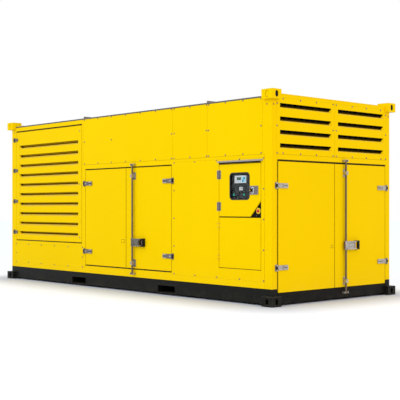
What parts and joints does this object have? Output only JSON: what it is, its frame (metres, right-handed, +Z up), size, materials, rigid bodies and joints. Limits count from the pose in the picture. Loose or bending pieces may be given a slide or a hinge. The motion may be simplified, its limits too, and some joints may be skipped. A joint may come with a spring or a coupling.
{
  "type": "diesel generator set",
  "caption": "Containerised diesel generator set with corner castings, fork pockets, louvred inlet door, rod-locked double doors and a windowed control bay.",
  "frame": {"origin": "centre of the footprint on the floor, under the bottom castings", "axes": "+X towards the end with the double doors, -Y towards the service side with the control bay, +Z up"},
  "size_m": [6.058, 2.438, 2.591],
  "materials": {
    "body_paint": "satin",
    "base_paint": "satin",
    "catch_paint": "satin",
    "floor_steel": "matte",
    "roof_sheet": "matte",
    "panel_plastic": "matte",
    "display": "gloss",
    "buttons": "satin",
    "stop_red": "gloss",
    "window": "gloss",
    "knob_plastic": "matte",
    "hinge_steel": "satin"
  },
  "bodies": {
    "enclosure": {"castings_bottom": "base_paint", "castings_top": "body_paint", "base_rails": "base_paint", "base_beams": "base_paint", "fork_pockets": "base_paint", "floor": "floor_steel", "corner_posts": "body_paint", "front_sill": "body_paint", "front_mullions": "body_paint", "waist_rails": "body_paint", "louvre_rails": "body_paint", "front_skirt_panel": "body_paint", "front_upper_left": "body_paint", "front_upper_mid": "body_paint", "front_upper_right": "body_paint", "front_wall": "body_paint", "front_wall_rails": "body_paint", "front_wall_strip": "body_paint", "rain_gutter": "roof_sheet", "control_panel": "panel_plastic", "panel_display": "display", "panel_buttons": "buttons", "stop_plate": "panel_plastic", "side_hinge_brackets": "hinge_steel", "side_keepers": "hinge_steel", "end_jambs": "body_paint", "end_louvres": "body_paint", "end_hinge_brackets": "hinge_steel", "end_keepers": "hinge_steel", "rear_wall_lower": "body_paint", "rear_wall_upper": "body_paint", "rear_louvre": "body_paint", "far_end_wall": "body_paint", "end_headers": "body_paint", "roof_sheets": "roof_sheet"},
    "louvre_door": {"louvre_door": "body_paint", "louvre_straps": "hinge_steel"},
    "side_door_left": {"side_door_left": "body_paint", "side_left_straps": "hinge_steel"},
    "side_door_right": {"side_door_right": "body_paint", "side_right_fittings": "hinge_steel", "side_catch": "catch_paint"},
    "side_lock": {"side_rod": "hinge_steel", "side_handle": "hinge_steel"},
    "control_door": {"control_door": "body_paint", "control_glass": "window", "control_fittings": "hinge_steel"},
    "control_knob": {"control_knob": "knob_plastic"},
    "access_door": {"access_door": "body_paint", "access_hinges": "body_paint"},
    "stop_button": {"stop_button": "stop_red"},
    "end_door_left": {"end_door_left": "body_paint", "end_left_straps": "hinge_steel"},
    "end_door_right": {"end_door_right": "body_paint", "end_right_fittings": "hinge_steel", "end_catch": "catch_paint"},
    "end_lock": {"end_rod": "hinge_steel", "end_handle": "hinge_steel"}
  },
  "joints": [
    {"name": "louvre_door_hinge", "type": "hinge", "parent": "enclosure", "child": "louvre_door", "pos_m": [-2.886, -1.178, 1.5375], "axis": [0, 0, -1], "range_deg": [0, 120]},
    {"name": "side_left_hinge", "type": "hinge", "parent": "enclosure", "child": "side_door_left", "pos_m": [-0.877, -1.178, 1.033], "axis": [0, 0, -1], "range_deg": [0, 120]},
    {"name": "side_right_hinge", "type": "hinge", "parent": "enclosure", "child": "side_door_right", "pos_m": [1.161, -1.178, 1.033], "axis": [0, 0, 1], "range_deg": [0, 120]},
    {"name": "side_lock_turn", "type": "hinge", "parent": "side_door_right", "child": "side_lock", "pos_m": [0.327, -1.196, 0.694], "axis": [0, 0, -1], "range_deg": [0, 110]},
    {"name": "control_door_hinge", "type": "hinge", "parent": "enclosure", "child": "control_door", "pos_m": [2.0585, -1.168, 1.3935], "axis": [0, 0, -1], "range_deg": [0, 120]},
    {"name": "control_knob_turn", "type": "hinge", "parent": "control_door", "child": "control_knob", "pos_m": [2.6375, -1.17, 1.3895], "axis": [0, -1, 0], "range_deg": [0, 90]},
    {"name": "access_door_hinge", "type": "hinge", "parent": "enclosure", "child": "access_door", "pos_m": [2.0585, -1.168, 0.755], "axis": [0, 0, -1], "range_deg": [0, 120]},
    {"name": "stop_push", "type": "slide", "parent": "enclosure", "child": "stop_button", "axis": [0, 1, 0], "range_m": [0, 0.005]},
    {"name": "end_left_hinge", "type": "hinge", "parent": "enclosure", "child": "end_door_left", "pos_m": [2.988, -1.089, 0.951], "axis": [0, 0, -1], "range_deg": [0, 120]},
    {"name": "end_right_hinge", "type": "hinge", "parent": "enclosure", "child": "end_door_right", "pos_m": [2.988, 1.089, 0.951], "axis": [0, 0, 1], "range_deg": [0, 120]},
    {"name": "end_lock_turn", "type": "hinge", "parent": "end_door_right", "child": "end_lock", "pos_m": [3.006, 0.185, 0.694], "axis": [0, 0, -1], "range_deg": [0, 110]}
  ]
}
